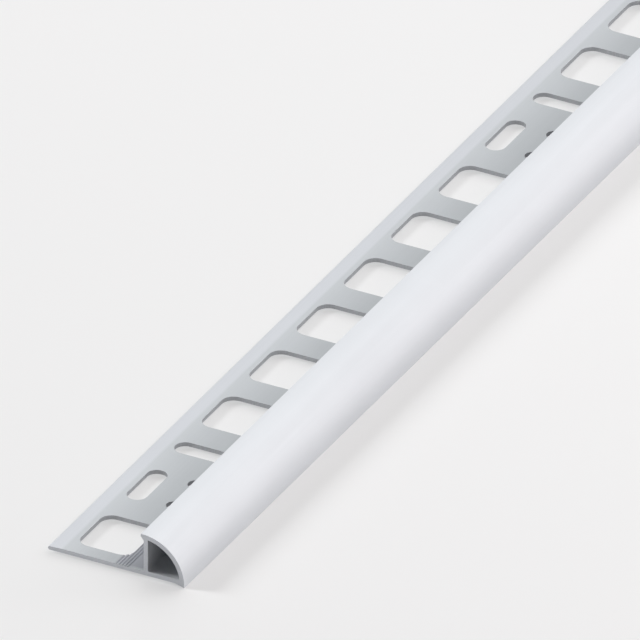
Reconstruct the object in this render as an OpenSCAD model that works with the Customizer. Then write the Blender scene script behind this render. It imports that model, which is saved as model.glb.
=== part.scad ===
// Quarter-round tile edge trim: one length of extruded aluminium with a perforated anchoring leg.
// Millimetres. +Y runs along the stock, +X points from the leg to the round, +Z is up.
// The origin is under the middle of the stock, level with the tip of the toe.

/* [Stock] */
// Length that the stock is cut to
stock_len = 1000; // [200:10:2500]

/* [Anchoring leg] */
// Width of the leg, from its outer edge to the web
leg_w = 21.0; // [19:0.1:30]
// Thickness of the leg
leg_t = 0.9; // [0.8:0.05:1.6]
// Thickness of the leg at its rounded outer edge
leg_edge_t = 0.8; // [0.5:0.05:0.8]
// Width of the strip that thins towards the outer edge
leg_taper_w = 3.0; // [1.5:0.1:4]

/* [Quarter round] */
// Height of the crown above the underside of the leg
crown_h = 9.1; // [8:0.1:14]
// Outer radius of the round
round_r = 9.3; // [7.4:0.1:13]
// Distance of the round's axis from the face of the web, on the side of the leg
axis_offset = 0.4; // [0:0.1:1]
// Wall thickness of the round
wall_t = 0.95; // [0.8:0.05:1.5]
// Thickness of the web that stops the tile
web_t = 0.9; // [0.6:0.05:1.4]
// Thickness of the floor under the hollow
floor_t = 1.0; // [0.7:0.05:1.5]
// Radius left by the die in the square corners at the foot of the web
corner_r = 0.25; // [0.1:0.05:0.5]

/* [Lip and toe] */
// Reach of the lip over the tile joint, out from the web
lip_w = 0.65; // [0.3:0.05:1.5]
// Thickness of the lip at its tip
lip_t = 0.55; // [0.3:0.05:0.8]
// Further depth that the lip gains before it meets the web
lip_root = 0.85; // [0.3:0.05:1.5]
// Drop of the toe below the underside of the leg
toe_drop = 0.6; // [0.3:0.05:1]
// Width of the hollowed underside behind the tip of the toe
toe_w = 2.9; // [1.5:0.1:4]

/* [Perforation] */
// Metal left between a cut end and the first opening
end_margin = 3.3; // [2:0.1:6]
// Distance from the outer edge of the leg to the openings and slots
opening_inset = 4.3; // [4:0.1:6]
// Width of the openings, across the leg
opening_w = 11.8; // [8:0.1:12]
// Length of a wide opening, along the leg
opening_len = 12.8; // [8:0.1:20]
// Corner radius of a wide opening
opening_r = 2.6; // [1:0.1:3.5]
// Length of a narrow opening, along the leg, with fully rounded ends
narrow_len = 4.3; // [3:0.1:7]
// Width of the bars between the openings
bar_w = 7.0; // [4:0.1:10]
// Wide openings in a row between a narrow opening and the next slot
wide_count = 6; // [2:1:10]

/* [Fixing holes] */
// Length of a fixing slot, along the leg
slot_len = 12.3; // [11:0.1:18]
// Width of a fixing slot
slot_w = 4.2; // [3:0.1:6]
// Width of the bar between a slot and the narrow opening after it
slot_bar_w = 7.6; // [4:0.1:10]
// Diameter of a nail hole
nail_d = 3.0; // [2:0.1:3.5]
// Distance between the two nail holes beside a slot
nail_pitch = 9.0; // [5:0.1:12]
// Distance from the outer edge of the leg to the nail holes
nail_inset = 14.6; // [13:0.1:16]

/* [Keying grooves] */
// Distance from the outer edge of the leg to the first groove
groove_inset = 15.0; // [13:0.1:16]
// Distance from one groove to the next
groove_pitch = 0.65; // [0.65:0.05:1]
// Width of a groove at the surface
groove_w = 0.4; // [0.2:0.05:0.6]
// Depth of a groove
groove_d = 0.2; // [0.1:0.05:0.35]
// Number of grooves
groove_count = 5; // [1:1:5]

/* [Hidden] */
$fn = 64;
// Overshoot of every cutting shape past the face that it cuts
cut_over = 1;

round_x = leg_w - axis_offset;
round_z = crown_h - round_r;
trim_w = round_x + round_r;

// The toe's tip lies on the outer round, and an arc hollows the underside behind it
toe_tip_x = round_x + sqrt(pow(round_r, 2) - pow(toe_drop + round_z, 2));
toe_start_x = toe_tip_x - toe_w;
toe_arc_r = (pow(toe_w, 2) + pow(toe_drop, 2)) / (2 * toe_drop);

// One repeat is a slot, a narrow opening and a row of wide openings, with a bar after each
wide_step = opening_len + bar_w;
repeat_len = slot_len + slot_bar_w + narrow_len + bar_w + wide_count * wide_step;
stock_start = -stock_len / 2;
first_slot_y = stock_start + end_margin + wide_step;
last_cut_y = stock_len / 2 - end_margin;
repeat_count = ceil(stock_len / repeat_len);
edge_tolerance = 0.001;

// Flat leg whose top thins towards a rounded outer edge
module leg_section() {
    edge_r = leg_edge_t / 2;
    translate([edge_r, edge_r]) circle(r = edge_r);
    polygon([
        [edge_r, 0],
        [leg_w + web_t, 0],
        [leg_w + web_t, leg_t],
        [leg_taper_w, leg_t],
        [edge_r, leg_edge_t]
    ]);
}

// Fine lengthwise grooves that key the tile adhesive to the leg, beside the web
module groove_section() {
    for (i = [0 : groove_count - 1])
        translate([groove_inset + i * groove_pitch, leg_t])
            polygon([
                [-groove_w / 2, 0],
                [0, -groove_d],
                [groove_w / 2, 0],
                [groove_w / 2, cut_over],
                [-groove_w / 2, cut_over]
            ]);
}

module round_disc(r) {
    translate([round_x, round_z]) circle(r = r);
}

// Curved wall of the round, from over the web down to the tip of the toe
module wall_section() {
    intersection() {
        difference() {
            round_disc(round_r);
            round_disc(round_r - wall_t);
        }
        translate([leg_w, -toe_drop]) square([round_r, crown_h + toe_drop + cut_over]);
    }
}

// Upright web with the floor of the hollow, both run into the curved wall
module web_and_floor_section() {
    intersection() {
        round_disc(round_r);
        union() {
            translate([leg_w, 0]) square([web_t, crown_h]);
            translate([leg_w, 0]) square([round_r, floor_t]);
        }
    }
}

// Rounded fill of a square inner corner at the origin, towards +X and +Y
module corner_fill() {
    difference() {
        square(corner_r);
        translate([corner_r, corner_r]) circle(r = corner_r);
    }
}

// Both corners at the foot of the web: towards the leg and inside the hollow
module web_foot_section() {
    translate([leg_w, leg_t]) mirror([1, 0]) corner_fill();
    translate([leg_w + web_t, floor_t]) corner_fill();
}

// Lip that reaches over the edge of the tile, thicker where it meets the web
module lip_section() {
    intersection() {
        round_disc(round_r);
        polygon([
            [leg_w - lip_w, crown_h],
            [leg_w - lip_w, crown_h - lip_t],
            [leg_w, crown_h - lip_t - lip_root],
            [leg_w + web_t, crown_h - lip_t - lip_root],
            [leg_w + web_t, crown_h]
        ]);
    }
}

// Pointed toe under the outer edge of the round
module toe_section() {
    difference() {
        intersection() {
            round_disc(round_r);
            translate([toe_start_x, -toe_drop]) square([toe_w + cut_over, toe_drop + floor_t]);
        }
        translate([toe_start_x, -toe_arc_r]) circle(r = toe_arc_r);
    }
}

module trim_section() {
    difference() {
        leg_section();
        groove_section();
    }
    difference() {
        wall_section();
        translate([toe_start_x, -toe_arc_r]) circle(r = toe_arc_r);
    }
    web_and_floor_section();
    web_foot_section();
    lip_section();
    toe_section();
}

// Rounded rectangle from the origin to [w, len], made of straight stretches and corner circles
module rounded_opening(w, len, r) {
    translate([r, 0]) square([w - 2 * r, len]);
    if (len > 2 * r) translate([0, r]) square([w, len - 2 * r]);
    for (x = [r, w - r], y = [r, len - r])
        translate([x, y]) circle(r = r);
}

// A shape is punched only where it leaves the end margin whole
module punch(y, len) {
    fits = y > stock_start + end_margin - edge_tolerance && y + len < last_cut_y + edge_tolerance;
    if (fits) translate([0, y]) children();
}

module wide_opening(y) {
    punch(y, opening_len)
        translate([opening_inset, 0]) rounded_opening(opening_w, opening_len, opening_r);
}

module narrow_opening(y) {
    punch(y, narrow_len)
        translate([opening_inset, 0]) rounded_opening(opening_w, narrow_len, narrow_len / 2);
}

// Fixing slot with the pair of nail holes beside it
module slot_and_nail_holes(y) {
    punch(y, slot_len) {
        translate([opening_inset, slot_w / 2]) square([slot_w, slot_len - slot_w]);
        for (end_y = [slot_w / 2, slot_len - slot_w / 2])
            translate([opening_inset + slot_w / 2, end_y]) circle(d = slot_w);
        for (side = [-1, 1])
            translate([nail_inset, slot_len / 2 + side * nail_pitch / 2]) circle(d = nail_d);
    }
}

// The punched pattern, counted from the near end
module perforation() {
    wide_opening(first_slot_y - wide_step);
    for (i = [0 : repeat_count - 1]) {
        slot_y = first_slot_y + i * repeat_len;
        narrow_y = slot_y + slot_len + slot_bar_w;
        wide_y = narrow_y + narrow_len + bar_w;
        slot_and_nail_holes(slot_y);
        narrow_opening(narrow_y);
        for (j = [0 : wide_count - 1]) wide_opening(wide_y + j * wide_step);
    }
}

module trim() {
    color("silver")
        translate([-trim_w / 2, 0, toe_drop])
            difference() {
                rotate([90, 0, 0]) linear_extrude(height = stock_len, center = true) trim_section();
                translate([0, 0, -cut_over]) linear_extrude(height = leg_t + 2 * cut_over) perforation();
            }
}

trim();
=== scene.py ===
import math

import bpy
from mathutils import Matrix, Vector


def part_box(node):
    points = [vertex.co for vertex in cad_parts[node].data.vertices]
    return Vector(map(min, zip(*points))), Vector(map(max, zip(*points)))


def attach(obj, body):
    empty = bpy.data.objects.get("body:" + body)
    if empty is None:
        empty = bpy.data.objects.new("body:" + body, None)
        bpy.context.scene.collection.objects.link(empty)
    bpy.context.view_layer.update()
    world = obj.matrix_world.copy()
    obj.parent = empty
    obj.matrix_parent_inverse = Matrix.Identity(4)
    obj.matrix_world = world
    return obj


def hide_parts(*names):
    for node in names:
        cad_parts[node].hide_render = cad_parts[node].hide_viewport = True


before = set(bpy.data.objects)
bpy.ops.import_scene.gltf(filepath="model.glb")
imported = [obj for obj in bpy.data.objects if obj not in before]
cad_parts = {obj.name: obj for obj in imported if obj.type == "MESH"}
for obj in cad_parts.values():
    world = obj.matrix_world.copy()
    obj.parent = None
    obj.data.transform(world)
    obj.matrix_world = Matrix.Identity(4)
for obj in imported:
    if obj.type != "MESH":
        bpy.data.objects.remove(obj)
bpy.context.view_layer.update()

# The trim: one length of extruded aluminium, matt silver anodised. The die gives it a flat leg, an upright
# web and a hollow quarter round with a lip and a toe. A press then punches the leg, and a saw cuts the ends.
low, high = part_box("trim")
stock_length = high.y - low.y

leg_width = 0.0210
leg_thickness = 0.0009
leg_edge_thickness = 0.0008
leg_taper_width = 0.0030
leg_blend_radius = 0.015
crown_height = 0.0091
round_radius = 0.0093
axis_offset = 0.0004
wall_thickness = 0.00095
web_thickness = 0.0009
floor_thickness = 0.0010
corner_radius = 0.00025
lip_reach = 0.00065
lip_tip_thickness = 0.00055
lip_root_depth = 0.00085
toe_drop = 0.0006
toe_width = 0.0029
groove_inset = 0.0150
groove_pitch = 0.00065
groove_width = 0.0004
groove_depth = 0.0002
groove_count = 5

# The section is drawn from the leg's outer edge and underside, which lie here in the frame
section_x = low.x
section_z = low.z + toe_drop
round_axis_x = leg_width - axis_offset
round_axis_z = crown_height - round_radius
hollow_radius = round_radius - wall_thickness


def arc(centre_x, centre_z, radius, start_deg, end_deg, step_deg):
    """Points along an arc, both ends included."""
    count = max(1, math.ceil(abs(end_deg - start_deg) / step_deg))
    angles = [math.radians(start_deg + (end_deg - start_deg) * i / count) for i in range(count + 1)]
    return [(centre_x + radius * math.cos(a), centre_z + radius * math.sin(a)) for a in angles]


def leg_outline():
    """From the underside at the outer edge, over the leg and its keying grooves, to the foot of the web."""
    edge_r = leg_edge_thickness / 2
    slope = math.atan2(leg_thickness - leg_edge_thickness, leg_taper_width - edge_r)
    slope_deg = 90 + math.degrees(slope)
    blend_x = leg_taper_width + leg_blend_radius * math.tan(slope / 2)
    blend_z = leg_thickness - leg_blend_radius
    foot_x = leg_width - corner_radius
    foot_z = leg_thickness + corner_radius
    points = arc(edge_r, edge_r, edge_r, 270, slope_deg, step_deg=10)
    points += arc(blend_x, blend_z, leg_blend_radius, slope_deg, 90, step_deg=0.7)
    for i in range(groove_count):
        middle = groove_inset + i * groove_pitch
        points += [
            (middle - groove_width / 2, leg_thickness),
            (middle, leg_thickness - groove_depth),
            (middle + groove_width / 2, leg_thickness),
        ]
    return points + arc(foot_x, foot_z, corner_radius, 270, 360, step_deg=15)


def round_outline():
    """Up the web, round the lip, over the quarter round and back under the toe."""
    lip_under = crown_height - lip_tip_thickness
    lip_angle = math.degrees(math.acos((axis_offset - lip_reach) / round_radius))
    toe_angle = -math.degrees(math.asin((toe_drop + round_axis_z) / round_radius))
    toe_tip_x = round_axis_x + round_radius * math.cos(math.radians(toe_angle))
    toe_start_x = toe_tip_x - toe_width
    under_radius = (toe_width**2 + toe_drop**2) / (2 * toe_drop)
    under_angle = math.degrees(math.acos(toe_width / under_radius))
    return (
        [(leg_width, lip_under - lip_root_depth), (leg_width - lip_reach, lip_under)]
        + arc(round_axis_x, round_axis_z, round_radius, lip_angle, toe_angle, step_deg=2)
        + arc(toe_start_x, -under_radius, under_radius, under_angle, 90, step_deg=5)[1:]
    )


def hollow_outline():
    """The web, the floor and the curved wall from inside."""
    web_inside = leg_width + web_thickness
    foot_x = web_inside + corner_radius
    foot_z = floor_thickness + corner_radius
    top_angle = math.degrees(math.acos((web_inside - round_axis_x) / hollow_radius))
    floor_angle = math.degrees(math.asin((floor_thickness - round_axis_z) / hollow_radius))
    foot = arc(foot_x, foot_z, corner_radius, 270, 180, step_deg=15)
    return foot + arc(round_axis_x, round_axis_z, hollow_radius, top_angle, floor_angle, step_deg=2.5)


def outline_mesh():
    """The section's two closed outlines, as edges, in the XY plane."""
    points, edges = [], []
    for loop in (leg_outline() + round_outline(), hollow_outline()):
        first = len(points)
        points += [(x, z, 0) for x, z in loop]
        edges += [(first + i, first + (i + 1) % len(loop)) for i in range(len(loop))]
    mesh = bpy.data.meshes.new("trim_section")
    mesh.from_pydata(points, edges, [])
    return mesh


def add(tree, kind, inputs=None, **settings):
    """Adds a node, with its settings, and sets or links the inputs that are named or numbered."""
    made = tree.nodes.new(kind)
    for name, value in settings.items():
        setattr(made, name, value)
    for name, value in (inputs or {}).items():
        if isinstance(value, bpy.types.NodeSocket):
            tree.links.new(value, made.inputs[name])
        else:
            made.inputs[name].default_value = value
    return made


def maths(tree, operation, first, second=0.0):
    """One step of arithmetic on numbers or sockets."""
    return add(tree, "ShaderNodeMath", {0: first, 1: second}, operation=operation).outputs[0]


def new_material(name, metallic):
    """An empty material, its node tree and its shader."""
    material = bpy.data.materials.new(name)
    material.use_nodes = True
    tree = material.node_tree
    tree.nodes.clear()
    shader = add(tree, "ShaderNodeBsdfPrincipled", {"Metallic": metallic})
    add(tree, "ShaderNodeOutputMaterial", {"Surface": shader.outputs["BSDF"]})
    return material, tree, shader


def mixed(tree, amount, first, second):
    """A colour between two, by an amount from 0 to 1."""
    return add(tree, "ShaderNodeMix", {0: amount, 6: first, 7: second}, data_type="RGBA").outputs[2]


def ramp(tree, value, start=0.0, end=1.0, low_value=0.0, high_value=1.0):
    """Carries a value from one range over to another, and stops at both ends of it."""
    return add(
        tree,
        "ShaderNodeMapRange",
        {"Value": value, "From Min": start, "From Max": end, "To Min": low_value, "To Max": high_value},
    ).outputs[0]


def grain(tree, place, scale, detail, stretch=(1.0, 1.0, 1.0), turn=(0.0, 0.0, 0.0)):
    """Fine noise, drawn out along an axis whose stretch is small."""
    drawn = add(tree, "ShaderNodeMapping", {"Vector": place, "Rotation": turn, "Scale": stretch}).outputs[0]
    return add(tree, "ShaderNodeTexNoise", {"Vector": drawn, "Scale": scale, "Detail": detail}).outputs[0]


# The round's colour is the anodised finish's own. The leg's levels are painted light and shade on the same
# finish: a lighter outer strip, a leg darker towards the web, where the round shades it, and darkest over
# the keying grooves and in the corner at the web's foot.
strip_painted_light = (0.725, 0.745, 0.775, 1.0)
leg_painted_shade = (0.66, 0.685, 0.705, 1.0)
foot_painted_shade = (0.475, 0.495, 0.51, 1.0)
keys_painted_shade = (0.50, 0.51, 0.545, 1.0)
corner_painted_shade = (0.32, 0.33, 0.355, 1.0)
hollow_colour = (0.775, 0.79, 0.81, 1.0)
round_colour = (0.80, 0.82, 0.845, 1.0)


def leg_painted_light_and_shade(tree, from_edge, from_end):
    """Painted light and shade on the leg: palest on the thin outer strip, darker towards the web and darkest
    past the keying grooves.
    """
    strip_fade_start = leg_taper_width - 0.0002
    strip_fade_end = leg_taper_width + 0.0004
    key_fade_start = 0.0002
    key_fade_end = 0.0009
    past_strip = ramp(tree, from_edge, strip_fade_start, strip_fade_end)
    # Painted shade that deepens towards the web, where the round shades the leg
    towards_web = ramp(tree, from_edge, leg_taper_width, leg_width)
    plain_leg = mixed(tree, towards_web, leg_painted_shade, foot_painted_shade)
    # Painted light on the thin outer strip
    edged_leg = mixed(tree, past_strip, strip_painted_light, plain_leg)
    # Painted shade over the keying grooves, deepest in the corner at the web's foot; it stops just short of
    # each end
    towards_corner = ramp(tree, from_edge, groove_inset + groove_pitch, leg_width)
    keyed_leg = mixed(tree, towards_corner, keys_painted_shade, corner_painted_shade)
    over_keys = ramp(tree, from_edge, groove_inset - groove_pitch, groove_inset)
    behind_end = ramp(tree, from_end, key_fade_start, key_fade_end)
    on_keys = maths(tree, "MULTIPLY", over_keys, behind_end)
    return mixed(tree, on_keys, edged_leg, keyed_leg)


def outer_round(tree, from_edge, height):
    """1 on the outside of the quarter round and its lip, and 0 on the other faces."""
    surface_depth = 0.0001
    from_axis_x = maths(tree, "SUBTRACT", from_edge, round_axis_x)
    from_axis_z = maths(tree, "SUBTRACT", height, section_z + round_axis_z)
    x_squared = maths(tree, "POWER", from_axis_x, 2.0)
    z_squared = maths(tree, "POWER", from_axis_z, 2.0)
    from_axis = maths(tree, "SQRT", maths(tree, "ADD", x_squared, z_squared))
    outside = maths(tree, "GREATER_THAN", from_axis, round_radius - surface_depth)
    over_web = maths(tree, "GREATER_THAN", from_axis_x, -lip_reach - surface_depth)
    return maths(tree, "MULTIPLY", outside, over_web)


def matt_anodised_painted_shade():
    """Pale matt silver with fine die lines along the stock. The round keeps the finish's own colour and is
    the brightest face; the leg and the web's face carry painted light and shade.
    """
    die_line_scale = 5200.0
    die_line_stretch = (1.0, 0.004, 1.0)
    cloud_scale = 60.0
    cloud_tone = 0.015
    material, tree, shader = new_material("matt_anodised_painted_shade", metallic=1.0)
    place = add(tree, "ShaderNodeTexCoord").outputs["Object"]
    lines = grain(tree, place, die_line_scale, detail=3.0, stretch=die_line_stretch)
    cloud = grain(tree, place, cloud_scale, detail=2.0)

    x, y, z = add(tree, "ShaderNodeSeparateXYZ", {0: place}).outputs
    from_edge = maths(tree, "SUBTRACT", x, section_x)
    from_end = maths(tree, "SUBTRACT", stock_length / 2, maths(tree, "ABSOLUTE", y))
    on_web = maths(tree, "GREATER_THAN", z, section_z + leg_thickness + corner_radius)
    in_hollow = maths(tree, "GREATER_THAN", from_edge, leg_width + web_thickness / 2)
    # Above the leg's top, on the web's face, the leg's painted shade level goes on
    tile_side = mixed(tree, on_web, leg_painted_light_and_shade(tree, from_edge, from_end), leg_painted_shade)
    both_sides = mixed(tree, in_hollow, tile_side, hollow_colour)
    colour = mixed(tree, outer_round(tree, from_edge, z), both_sides, round_colour)

    tone = ramp(tree, cloud, low_value=-cloud_tone, high_value=cloud_tone)
    shade = add(tree, "ShaderNodeBrightContrast", {"Color": colour, "Bright": tone}).outputs[0]
    rough = ramp(tree, lines, low_value=0.66, high_value=0.78)
    bump = add(tree, "ShaderNodeBump", {"Strength": 0.06, "Distance": 0.00002, "Height": lines}).outputs[0]
    tree.links.new(shade, shader.inputs["Base Color"])
    tree.links.new(rough, shader.inputs["Roughness"])
    tree.links.new(bump, shader.inputs["Normal"])
    return material


def sawn_end_painted_shade():
    """Bare metal with the fine, slightly slanted marks of the saw, on a darker level that is painted shade.
    """
    dark = (0.555, 0.575, 0.61, 1.0)
    light = (0.725, 0.745, 0.78, 1.0)
    mark_scale = 6000.0
    mark_stretch = (0.03, 1.0, 1.0)
    mark_slant = (0.0, 0.35, 0.0)
    material, tree, shader = new_material("sawn_end_painted_shade", metallic=0.5)
    place = add(tree, "ShaderNodeTexCoord").outputs["Object"]
    marks = grain(tree, place, mark_scale, detail=4.0, stretch=mark_stretch, turn=mark_slant)
    colour = mixed(tree, marks, dark, light)
    rough = ramp(tree, marks, low_value=0.42, high_value=0.6)
    bump = add(tree, "ShaderNodeBump", {"Strength": 0.2, "Distance": 0.00003, "Height": marks}).outputs[0]
    tree.links.new(colour, shader.inputs["Base Color"])
    tree.links.new(rough, shader.inputs["Roughness"])
    tree.links.new(bump, shader.inputs["Normal"])
    return material


def punched_edge_painted_shade(name, dark, light):
    """Sheared metal: fine upright streaks left by the punch, on a darker level that is painted shade."""
    streak_scale = 5000.0
    streak_stretch = (1.0, 1.0, 0.05)
    material, tree, shader = new_material(name, metallic=0.5)
    place = add(tree, "ShaderNodeTexCoord").outputs["Object"]
    streaks = grain(tree, place, streak_scale, detail=3.0, stretch=streak_stretch)
    colour = mixed(tree, streaks, dark, light)
    rough = ramp(tree, streaks, low_value=0.4, high_value=0.6)
    tree.links.new(colour, shader.inputs["Base Color"])
    tree.links.new(rough, shader.inputs["Roughness"])
    return material


number = "NodeSocketFloat"
count = "NodeSocketInt"
geometry = "NodeSocketGeometry"


def new_tree(name, sockets):
    """A Geometry Nodes tree with named inputs and one geometry output, and its input and output nodes."""
    tree = bpy.data.node_groups.new(name, "GeometryNodeTree")
    for label, kind in sockets.items():
        tree.interface.new_socket(label, in_out="INPUT", socket_type=kind)
    tree.interface.new_socket("Geometry", in_out="OUTPUT", socket_type=geometry)
    return tree, tree.nodes.new("NodeGroupInput").outputs, tree.nodes.new("NodeGroupOutput").inputs


def vector(tree, x=0.0, y=0.0, z=0.0):
    """A vector from numbers or sockets."""
    return add(tree, "ShaderNodeCombineXYZ", {0: x, 1: y, 2: z}).outputs[0]


def position(tree):
    """The x, y and z of each point."""
    return add(tree, "ShaderNodeSeparateXYZ", {0: add(tree, "GeometryNodeInputPosition").outputs[0]}).outputs


def thicken(tree, flat, height):
    """A flat filled shape drawn up into a closed solid."""
    weld_distance = 1e-6
    body = add(
        tree,
        "GeometryNodeExtrudeMesh",
        {"Mesh": flat, "Offset": vector(tree, z=height), "Individual": False},
        mode="FACES",
    ).outputs["Mesh"]
    base = add(tree, "GeometryNodeFlipFaces", {"Mesh": flat}).outputs[0]
    joined = add(tree, "GeometryNodeJoinGeometry")
    tree.links.new(base, joined.inputs[0])
    tree.links.new(body, joined.inputs[0])
    return add(
        tree, "GeometryNodeMergeByDistance", {"Geometry": joined.outputs[0], "Distance": weld_distance}
    ).outputs[0]


def rounded_punch_tree():
    """One punch: a rounded rectangle that stands on the XY plane, centred on the origin."""
    corner_steps = 10
    tree, size, out = new_tree(
        "rounded_punch", {"Width": number, "Length": number, "Corner Radius": number, "Height": number}
    )
    sheet = add(
        tree, "GeometryNodeCurvePrimitiveQuadrilateral", {"Width": size["Width"], "Height": size["Length"]}
    ).outputs[0]
    rounded = add(
        tree,
        "GeometryNodeFilletCurve",
        {"Curve": sheet, "Radius": size["Corner Radius"], "Count": corner_steps, "Limit Radius": True},
        mode="POLY",
    ).outputs[0]
    filled = add(tree, "GeometryNodeFillCurve", {0: rounded}, mode="NGONS").outputs[0]
    tree.links.new(thicken(tree, filled, size["Height"]), out[0])
    return tree


def punch_row_tree():
    """One kind of punch in its row of strokes, repeated along the stock, less those that meet an end.
    The repeats start one before the first, for the opening that stands between the near end and the slot."""
    just_under_half = 0.4999
    tree, size, out = new_tree(
        "punch_row",
        {
            "Punch": geometry,
            "Punch Length": number,
            "Across": number,
            "First Stroke": number,
            "Stroke Pitch": number,
            "Strokes": count,
            "Repeat": number,
            "Repeats": count,
            "Near Limit": number,
            "Far Limit": number,
            "Base": number,
        },
    )
    row = add(
        tree,
        "GeometryNodeMeshLine",
        {"Count": size["Strokes"], "Offset": vector(tree, y=size["Stroke Pitch"])},
        mode="OFFSET",
    ).outputs[0]
    start = maths(tree, "SUBTRACT", size["First Stroke"], size["Repeat"])
    repeats = add(
        tree,
        "GeometryNodeMeshLine",
        {
            "Count": size["Repeats"],
            "Start Location": vector(tree, size["Across"], start, size["Base"]),
            "Offset": vector(tree, y=size["Repeat"]),
        },
        mode="OFFSET",
    ).outputs[0]
    rows = add(tree, "GeometryNodeInstanceOnPoints", {"Points": repeats, "Instance": row}).outputs[0]
    strokes = add(tree, "GeometryNodeRealizeInstances", {"Geometry": rows}).outputs[0]
    along = position(tree)[1]
    half = maths(tree, "MULTIPLY", size["Punch Length"], just_under_half)
    too_near = maths(tree, "LESS_THAN", maths(tree, "SUBTRACT", along, half), size["Near Limit"])
    too_far = maths(tree, "GREATER_THAN", maths(tree, "ADD", along, half), size["Far Limit"])
    kept = add(
        tree,
        "GeometryNodeDeleteGeometry",
        {"Geometry": strokes, "Selection": maths(tree, "MAXIMUM", too_near, too_far)},
        domain="POINT",
    ).outputs[0]
    placed = add(tree, "GeometryNodeInstanceOnPoints", {"Points": kept, "Instance": size["Punch"]})
    tree.links.new(placed.outputs[0], out[0])
    return tree


opening_inset = 0.0043
opening_width = 0.0118
opening_length = 0.0128
opening_corner = 0.0026
narrow_length = 0.0043
bar_width = 0.0070
openings_in_row = 6
slot_length = 0.0123
slot_width = 0.0042
slot_bar_width = 0.0076
nail_diameter = 0.0030
nail_pitch = 0.0090
nail_inset = 0.0146
end_margin = 0.0033

opening_pitch = opening_length + bar_width
repeat_length = slot_length + slot_bar_width + narrow_length + bar_width + openings_in_row * opening_pitch
first_slot = low.y + end_margin + opening_pitch
first_narrow = first_slot + slot_length + slot_bar_width
first_opening = first_narrow + narrow_length + bar_width
opening_across = section_x + opening_inset + opening_width / 2
punch_base = section_z - leg_thickness
punch_height = 3 * leg_thickness

# Each kind of punch: its width, length and corner radius, then its place across the leg, the middle of its
# first stroke, the pitch of its strokes and how many there are in a row
punches = {
    "wide_opening": (
        opening_width, opening_length, opening_corner,
        opening_across, first_opening + opening_length / 2, opening_pitch, openings_in_row,
    ),
    "narrow_opening": (
        opening_width, narrow_length, narrow_length / 2,
        opening_across, first_narrow + narrow_length / 2, 0.0, 1,
    ),
    "slot": (
        slot_width, slot_length, slot_width / 2,
        section_x + opening_inset + slot_width / 2, first_slot + slot_length / 2, 0.0, 1,
    ),
    "nail_hole": (
        nail_diameter, nail_diameter, nail_diameter / 2,
        section_x + nail_inset, first_slot + (slot_length - nail_pitch) / 2, nail_pitch, 2,
    ),
}


def punched_trim_tree(face_finish_and_shade, end_finish_and_shade, edge_finishes_and_shade):
    """Draws the section out to the stock's length and takes every punch out of its leg."""
    corner_share = 0.999
    end_share = 0.99999
    tree, size, out = new_tree(
        "punched_trim",
        {
            "Geometry": geometry,
            "Stock Length": number,
            "End Margin": number,
            "Repeat": number,
            "Punch Height": number,
            "Smooth Below": number,
        },
    )
    outline = add(tree, "GeometryNodeMeshToCurve", {"Mesh": size["Geometry"]}).outputs[0]
    section = add(tree, "GeometryNodeFillCurve", {0: outline}, mode="TRIANGLES").outputs[0]
    faced = add(tree, "GeometryNodeSetMaterial", {"Geometry": section, "Material": face_finish_and_shade}).outputs[0]
    bar = thicken(tree, faced, size["Stock Length"])
    half = maths(tree, "MULTIPLY", size["Stock Length"], 0.5)
    laid = add(
        tree,
        "GeometryNodeTransform",
        {
            "Geometry": bar,
            "Translation": vector(tree, section_x, half, section_z),
            "Rotation": (math.radians(90), 0.0, 0.0),
        },
    ).outputs[0]

    near_limit = maths(tree, "SUBTRACT", size["End Margin"], half)
    far_limit = maths(tree, "SUBTRACT", half, size["End Margin"])
    whole_repeats = add(
        tree,
        "FunctionNodeFloatToInt",
        {0: maths(tree, "DIVIDE", size["Stock Length"], size["Repeat"])},
        rounding_mode="CEILING",
    ).outputs[0]
    repeats = maths(tree, "ADD", whole_repeats, 1.0)
    punch_tree = rounded_punch_tree()
    row_tree = punch_row_tree()
    press = add(tree, "GeometryNodeJoinGeometry")
    for name, (width, length, corner, across, first, pitch, strokes) in punches.items():
        punch = add(
            tree,
            "GeometryNodeGroup",
            {
                "Width": width,
                "Length": length,
                "Corner Radius": corner * corner_share,
                "Height": size["Punch Height"],
            },
            node_tree=punch_tree,
            label=name,
        ).outputs[0]
        row = add(
            tree,
            "GeometryNodeGroup",
            {
                "Punch": punch,
                "Punch Length": length,
                "Across": across,
                "First Stroke": first,
                "Stroke Pitch": pitch,
                "Strokes": strokes,
                "Repeat": size["Repeat"],
                "Repeats": repeats,
                "Near Limit": near_limit,
                "Far Limit": far_limit,
                "Base": punch_base,
            },
            node_tree=row_tree,
            label=name + "_row",
        ).outputs[0]
        solid_row = add(tree, "GeometryNodeRealizeInstances", {"Geometry": row}).outputs[0]
        finished_row = add(
            tree, "GeometryNodeSetMaterial", {"Geometry": solid_row, "Material": edge_finishes_and_shade[name]}
        ).outputs[0]
        tree.links.new(finished_row, press.inputs[0])

    cut = add(
        tree,
        "GeometryNodeMeshBoolean",
        {"Mesh 1": laid, "Mesh 2": press.outputs[0]},
        operation="DIFFERENCE",
        solver="EXACT",
    ).outputs[0]
    smooth = add(
        tree, "GeometryNodeSetShadeSmooth", {"Geometry": cut, "Shade Smooth": True}, domain="FACE"
    ).outputs[0]
    angle = add(tree, "GeometryNodeInputMeshEdgeAngle").outputs["Unsigned Angle"]
    crisp = add(
        tree,
        "GeometryNodeSetShadeSmooth",
        {
            "Geometry": smooth,
            "Selection": maths(tree, "GREATER_THAN", angle, size["Smooth Below"]),
            "Shade Smooth": False,
        },
        domain="EDGE",
    ).outputs[0]
    whole = add(tree, "GeometryNodeRealizeInstances", {"Geometry": crisp}).outputs[0]
    from_middle = maths(tree, "ABSOLUTE", position(tree)[1])
    at_end = maths(tree, "GREATER_THAN", from_middle, maths(tree, "MULTIPLY", half, end_share))
    ended = add(
        tree, "GeometryNodeSetMaterial", {"Geometry": whole, "Selection": at_end, "Material": end_finish_and_shade}
    ).outputs[0]
    tree.links.new(ended, out[0])
    return tree


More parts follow.
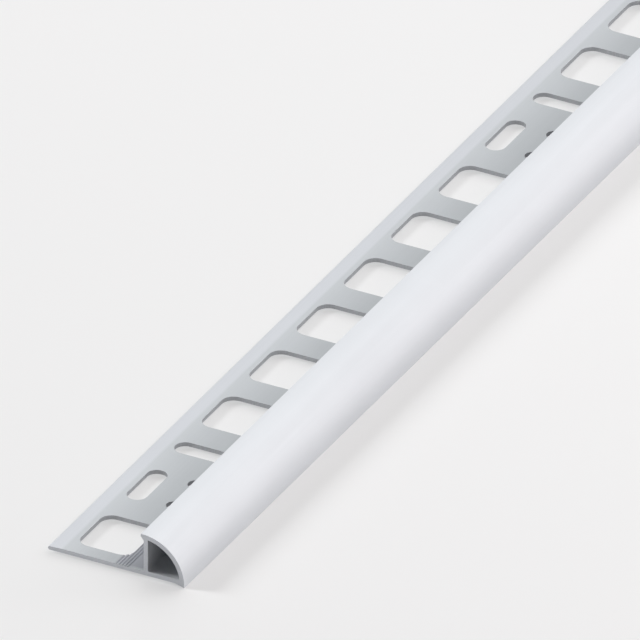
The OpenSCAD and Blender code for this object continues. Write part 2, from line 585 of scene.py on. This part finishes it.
draft = bpy.data.objects.new("trim_section", outline_mesh())
bpy.context.scene.collection.objects.link(draft)
# The openings' walls: sheared bare metal, set darker as painted shade
opening_edge = punched_edge_painted_shade("punched_edge_painted_shade", dark=(0.375, 0.385, 0.405, 1.0), light=(0.555, 0.57, 0.59, 1.0))
# The nail holes' walls are darker still: painted shade inside the small holes
nail_hole_painted_shade = punched_edge_painted_shade("nail_hole_edge_painted_shade", dark=(0.23, 0.235, 0.25, 1.0), light=(0.345, 0.355, 0.365, 1.0))
edge_finishes_and_shade = {name: nail_hole_painted_shade if name == "nail_hole" else opening_edge for name in punches}
punched_trim = punched_trim_tree(matt_anodised_painted_shade(), sawn_end_painted_shade(), edge_finishes_and_shade)
drawing = draft.modifiers.new("punched_trim", "NODES")
drawing.node_group = punched_trim
for label, value in (
    ("Stock Length", stock_length),
    ("End Margin", end_margin),
    ("Repeat", repeat_length),
    ("Punch Height", punch_height),
    ("Smooth Below", math.radians(20)),
):
    socket = next(item for item in punched_trim.interface.items_tree if item.name == label)
    drawing[socket.identifier] = value
shapes = bpy.context.evaluated_depsgraph_get()
trim_mesh = bpy.data.meshes.new_from_object(draft.evaluated_get(shapes))
bpy.data.objects.remove(draft)
trim = bpy.data.objects.new("edge_trim", trim_mesh)
bpy.context.scene.collection.objects.link(trim)
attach(trim, "root")
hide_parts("trim")

# The floor: a plain pale sheet that the trim lies on, whiter towards the back, which is painted light. It
# glows a little to the eye, and more under the leg than beyond the round: painted light that leaves the
# trim's own shadow pale in the openings.
floor_reach = 6.0
near_paper = (0.87, 0.87, 0.87, 1.0)
far_paper = (0.99, 0.99, 0.99, 1.0)
towards_back = (0.525, 0.85, 0.0)
whitens_from = -0.46
whitens_to = -0.26
glow_under_leg = (0.905, 0.905, 0.905, 1.0)
glow_past_round = (1.0, 1.0, 1.0, 1.0)
glow_share_under_leg = 0.52
glow_share_past_round = 0.26


def reach_along(tree, place, direction):
    """How far a place lies in a direction."""
    product = add(tree, "ShaderNodeVectorMath", {0: place, 1: direction}, operation="DOT_PRODUCT")
    return product.outputs["Value"]


floor_mesh = bpy.data.meshes.new("floor")
floor_corners = [(x * floor_reach, y * floor_reach, 0.0) for x, y in ((-1, -1), (1, -1), (1, 1), (-1, 1))]
floor_mesh.from_pydata(floor_corners, [], [(0, 1, 2, 3)])
floor = bpy.data.objects.new("floor", floor_mesh)
bpy.context.scene.collection.objects.link(floor)
paper = bpy.data.materials.new("pale_paper")
paper.use_nodes = True
sheet = paper.node_tree
sheet.nodes.clear()
floor_place = add(sheet, "ShaderNodeTexCoord").outputs["Object"]
# Painted light: the paper whitens towards the back
paler = ramp(sheet, reach_along(sheet, floor_place, towards_back), whitens_from, whitens_to)
paper_colour = mixed(sheet, paler, near_paper, far_paper)
matt = add(sheet, "ShaderNodeBsdfDiffuse", {"Color": paper_colour}).outputs[0]
floor_x = add(sheet, "ShaderNodeSeparateXYZ", {0: floor_place}).outputs[0]
past_leg = ramp(sheet, floor_x, section_x + leg_width, high.x)
glow_colour = mixed(sheet, past_leg, glow_under_leg, glow_past_round)
glow = add(sheet, "ShaderNodeEmission", {"Color": glow_colour}).outputs[0]
seen_by = add(sheet, "ShaderNodeLightPath").outputs
seen = maths(sheet, "MAXIMUM", seen_by["Is Camera Ray"], seen_by["Is Glossy Ray"])
seen = maths(sheet, "MAXIMUM", seen, seen_by["Is Transmission Ray"])
# The larger glow share under the leg is painted light on the trim's shadow there
share = ramp(sheet, past_leg, low_value=glow_share_under_leg, high_value=glow_share_past_round)
glow_share = maths(sheet, "MULTIPLY", seen, share)
mix = add(sheet, "ShaderNodeMixShader", {0: glow_share, 1: matt, 2: glow}).outputs[0]
add(sheet, "ShaderNodeOutputMaterial", {"Surface": mix})
floor_mesh.materials.append(paper)

# The light: a room that is bright at the back, and three soft panels round the near end. The wide key panel
# stands over the round, the small one beyond the leg casts the shadow, and the low one fills from behind.
room_falloff = 4.0
room_sides = {
    "left": ((-0.82, 0.0, 0.57), 0.1),
    "back": ((0.0, 0.82, 0.57), 2.1),
    "front": ((0.0, -0.82, 0.57), 0.07),
}
world = bpy.data.worlds.new("studio")
bpy.context.scene.world = world
world.use_nodes = True
room = world.node_tree
looking = add(room, "ShaderNodeTexCoord").outputs["Generated"]
brightness = 0.0
for direction, strength in room_sides.values():
    facing = maths(room, "MAXIMUM", reach_along(room, looking, direction), 0.0)
    lit = maths(room, "POWER", facing, room_falloff)
    brightness = maths(room, "ADD", brightness, maths(room, "MULTIPLY", lit, strength))
room.nodes["Background"].inputs["Color"].default_value = (1.0, 1.0, 1.0, 1.0)
room.links.new(brightness, room.nodes["Background"].inputs["Strength"])

# Each panel: the direction in which it stands, its side, its power and its colour
panel_distance = 2.5
view_middle = Vector((0.0, -0.43, 0.0))
panels = {
    "key_panel": ((0.64, 0.0, 0.77), 2.3, 13.9, (1.0, 0.92, 0.915)),
    "side_panel": ((-0.81, -0.2, 0.55), 0.6, 29.8, (0.98, 0.99, 1.0)),
    "fill_panel": ((0.68, 0.68, 0.28), 1.2, 13.3, (1.0, 0.95, 0.95)),
}
for name, (direction, side, power, colour) in panels.items():
    lamp = bpy.data.lights.new(name, "AREA")
    lamp.shape = "SQUARE"
    lamp.size = side
    lamp.energy = power
    lamp.color = colour
    panel = bpy.data.objects.new(name, lamp)
    panel.location = view_middle + panel_distance * Vector(direction)
    panel.rotation_euler = Vector(direction).to_track_quat("Z", "Y").to_euler()
    bpy.context.scene.collection.objects.link(panel)

# The camera: a parallel view from above, on the round's side of the near end. It is set by the pixel at
# which the leg's outer corner lies in the square frame.
frame_px = 640
px_per_metre = 5148.0
leg_corner_px = (47.95, 549.19)
azimuth = math.radians(27.67)
elevation = math.radians(30.73)
camera_reach = 1.5

level = math.cos(elevation)
right = Vector((math.cos(azimuth), math.sin(azimuth), 0.0))
back = Vector((math.sin(azimuth) * level, -math.cos(azimuth) * level, math.sin(elevation)))
up = back.cross(right)
leg_corner = Vector((low.x, low.y, section_z))
middle = (
    leg_corner
    + right * (frame_px / 2 - leg_corner_px[0]) / px_per_metre
    + up * (leg_corner_px[1] - frame_px / 2) / px_per_metre
)
camera_data = bpy.data.cameras.new("camera")
camera_data.type = "ORTHO"
camera_data.ortho_scale = frame_px / px_per_metre
camera_data.clip_end = 20.0
camera = bpy.data.objects.new("camera", camera_data)
camera_turn = Matrix((right, up, back)).transposed().to_4x4()
camera.matrix_world = Matrix.Translation(middle + back * camera_reach) @ camera_turn
bpy.context.scene.collection.objects.link(camera)
bpy.context.scene.camera = camera

bpy.context.scene.view_settings.view_transform = "Standard"
